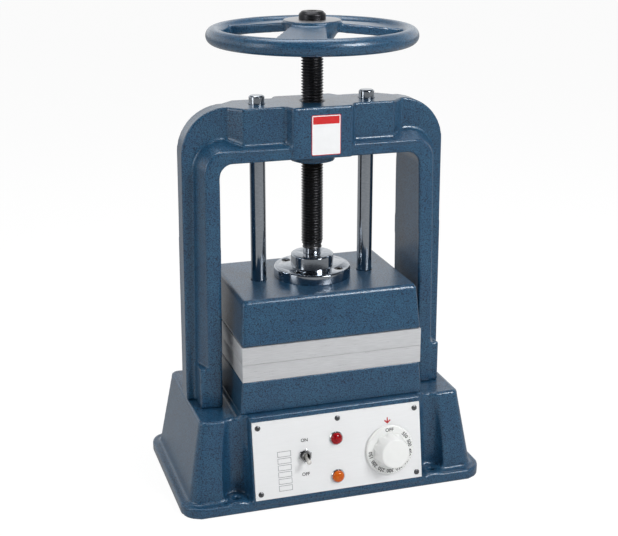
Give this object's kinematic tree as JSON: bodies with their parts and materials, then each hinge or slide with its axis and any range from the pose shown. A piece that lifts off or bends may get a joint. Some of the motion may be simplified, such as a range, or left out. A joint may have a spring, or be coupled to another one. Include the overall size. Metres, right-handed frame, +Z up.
{
  "type": "rubber mold vulcanizer",
  "caption": "Bench screw press with two heated platens, a handwheel, an arch frame on a cast base and a sloping control plate, for curing rubber molds.",
  "frame": {"origin": "on the bench plane, on the press screw's axis", "axes": "+X to the operator's right, +Y to the back, +Z up along the screw"},
  "size_m": [0.392, 0.2647, 0.587],
  "materials": {
    "hammertone_paint": "glossy dark blue hammertone enamel on cast iron",
    "polished_steel": "polished steel",
    "chrome_trim": "chrome plate",
    "black_oxide_steel": "black oxide, lightly oiled",
    "zinc_steel": "zinc plated steel",
    "bronze": "machined bearing bronze",
    "milled_aluminium": "milled aluminium",
    "satin_plate": "satin silver plate",
    "red_lens": "clear red lens",
    "amber_lens": "clear amber lens",
    "black_plastic": "black moulded plastic",
    "white_plastic": "white gloss plastic",
    "plated_sheet": "plated sheet steel",
    "heater_sheath": "heat tinted steel sheath",
    "insulation_board": "white mineral board"
  },
  "bodies": {
    "stand": {"arch_frame": "hammertone_paint", "base_casting": "hammertone_paint", "bottom_cover": "plated_sheet", "control_plate": "satin_plate", "cord_gland": "black_plastic", "cover_screws": "zinc_steel", "frame_bolts": "zinc_steel", "heat_lamp_bezel": "chrome_trim", "heat_lamp_body": "black_plastic", "heat_lamp_lens": "amber_lens", "heat_lamp_nut": "zinc_steel", "lower_block_bolts": "zinc_steel", "lower_heaters": "heater_sheath", "lower_insulation": "insulation_board", "lower_platen": "milled_aluminium", "lower_platen_block": "hammertone_paint", "lower_platen_screws": "zinc_steel", "plate_screws": "chrome_trim", "power_lamp_bezel": "chrome_trim", "power_lamp_body": "black_plastic", "power_lamp_lens": "red_lens", "power_lamp_nut": "zinc_steel", "rod_bush_left": "bronze", "rod_bush_right": "bronze", "screw_nut": "bronze", "switch_body": "black_plastic", "switch_nut": "chrome_trim", "switch_washer": "chrome_trim", "terminal_block": "black_plastic", "thermostat_body": "plated_sheet"},
    "head": {"upper_platen_block": "hammertone_paint", "upper_platen": "milled_aluminium", "upper_platen_screws": "zinc_steel", "upper_heaters": "heater_sheath", "upper_insulation": "insulation_board", "guide_rod_left": "polished_steel", "guide_rod_right": "polished_steel", "thrust_flange": "polished_steel", "flange_screws": "black_oxide_steel", "thrust_disc": "bronze", "head_lead_gland": "black_plastic"},
    "screw": {"press_screw": "black_oxide_steel", "thrust_collar": "polished_steel", "collar_pin": "zinc_steel", "handwheel": "hammertone_paint", "wheel_key": "zinc_steel", "wheel_cap": "black_oxide_steel"},
    "lever": {"switch_lever": "chrome_trim"},
    "dial": {"thermostat_knob": "white_plastic", "thermostat_stem": "polished_steel"}
  },
  "joints": [
    {"name": "head_slide", "type": "slide", "parent": "stand", "child": "head", "axis": [0, 0, 1], "range_m": [0, 0.1]},
    {"name": "screw_turn", "type": "hinge", "parent": "head", "child": "screw", "pos_m": [0, 0, 0.45], "axis": [0, 0, 1], "range_deg": [-1, 10286.7]},
    {"name": "power_switch", "type": "hinge", "parent": "stand", "child": "lever", "pos_m": [-0.0436, -0.10787, 0.06361], "axis": [-1, 0, 0], "range_deg": [0, 26]},
    {"name": "heat_dial", "type": "hinge", "parent": "stand", "child": "dial", "pos_m": [0.066, -0.10908, 0.05641], "axis": [0, 0.9862, -0.1656], "range_deg": [0, 310]}
  ],
  "couplings": [
    {"joint": "screw_turn", "follows": "head_slide", "rad_per_m": 1795.2}
  ]
}
